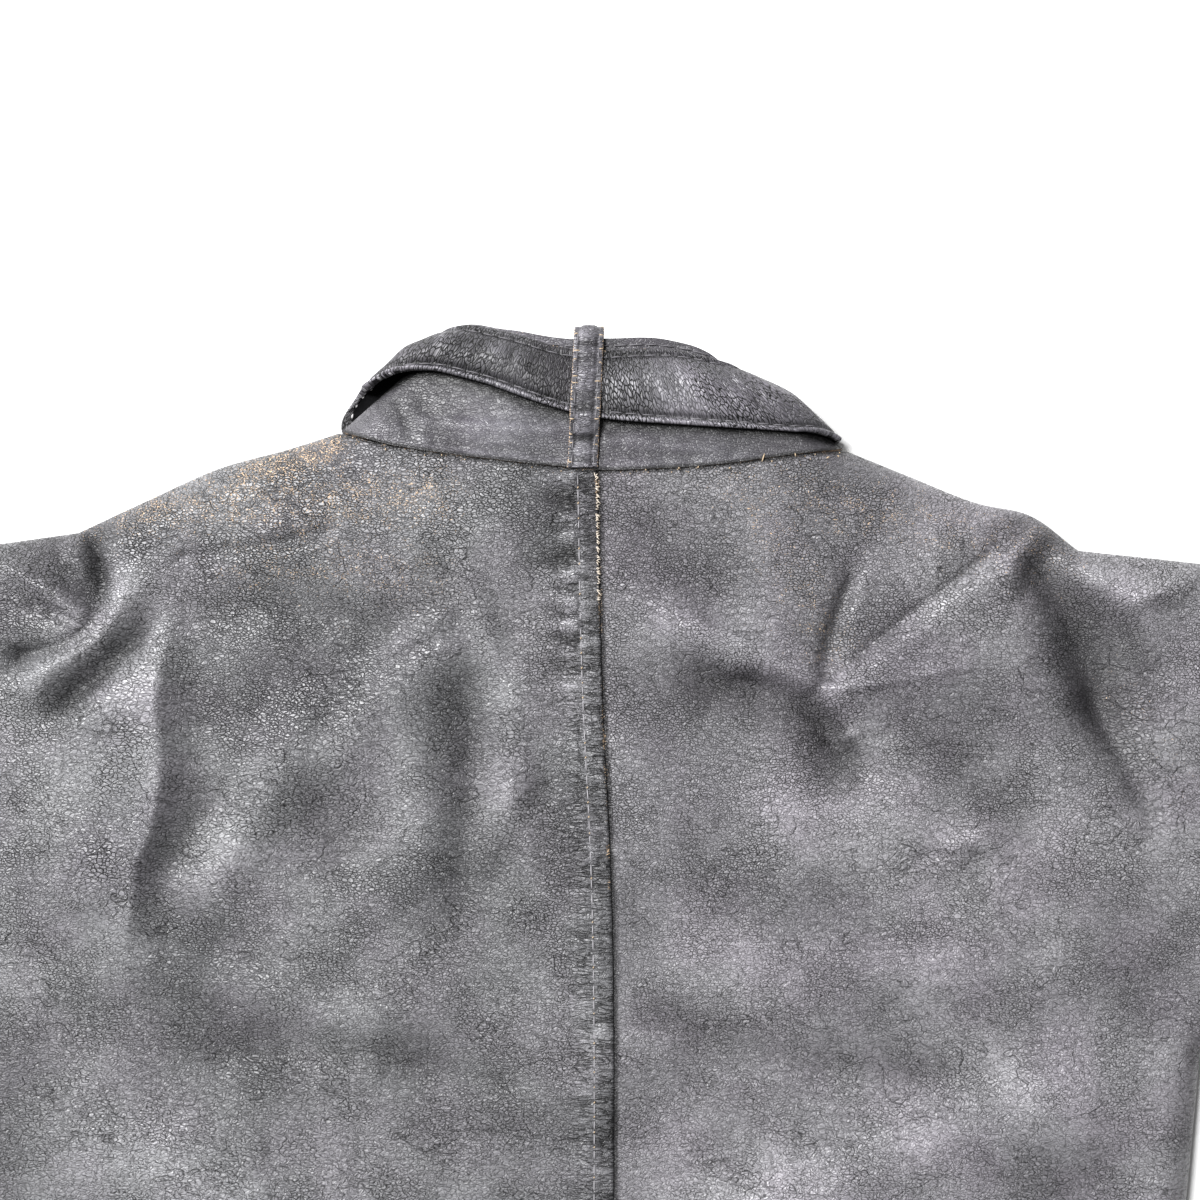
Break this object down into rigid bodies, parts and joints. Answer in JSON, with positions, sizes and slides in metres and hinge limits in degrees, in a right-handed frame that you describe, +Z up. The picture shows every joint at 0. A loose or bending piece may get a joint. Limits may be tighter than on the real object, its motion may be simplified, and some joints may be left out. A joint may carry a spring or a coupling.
{
  "type": "cafe racer jacket",
  "caption": "Worn leather cafe racer jacket laid face down, sleeves out: lapped back seam, stand collar with strap and keeper loop.",
  "frame": {"origin": "under the middle of the garment, on the surface it lies on", "axes": "+X to the right sleeve as seen from above, +Y from hem to collar, +Z up"},
  "size_m": [1.59, 0.6619, 0.0294],
  "materials": {
    "leather": "worn charcoal garment leather, creased grain",
    "zip_tape": "black woven tape",
    "zip_metal": "aged nickel-plated brass"
  },
  "bodies": {
    "root": {"back_left": "leather", "back_right": "leather", "front_left": "leather", "front_right": "leather", "sleeve_left_back": "leather", "sleeve_left_front": "leather", "sleeve_right_back": "leather", "sleeve_right_front": "leather", "collar_stand": "leather", "collar_strap": "leather", "keeper_loop": "leather", "zip_tape_left": "zip_tape", "zip_tape_right": "zip_tape", "zip_chain": "zip_metal", "zip_slider": "zip_metal"}
  },
  "joints": []
}
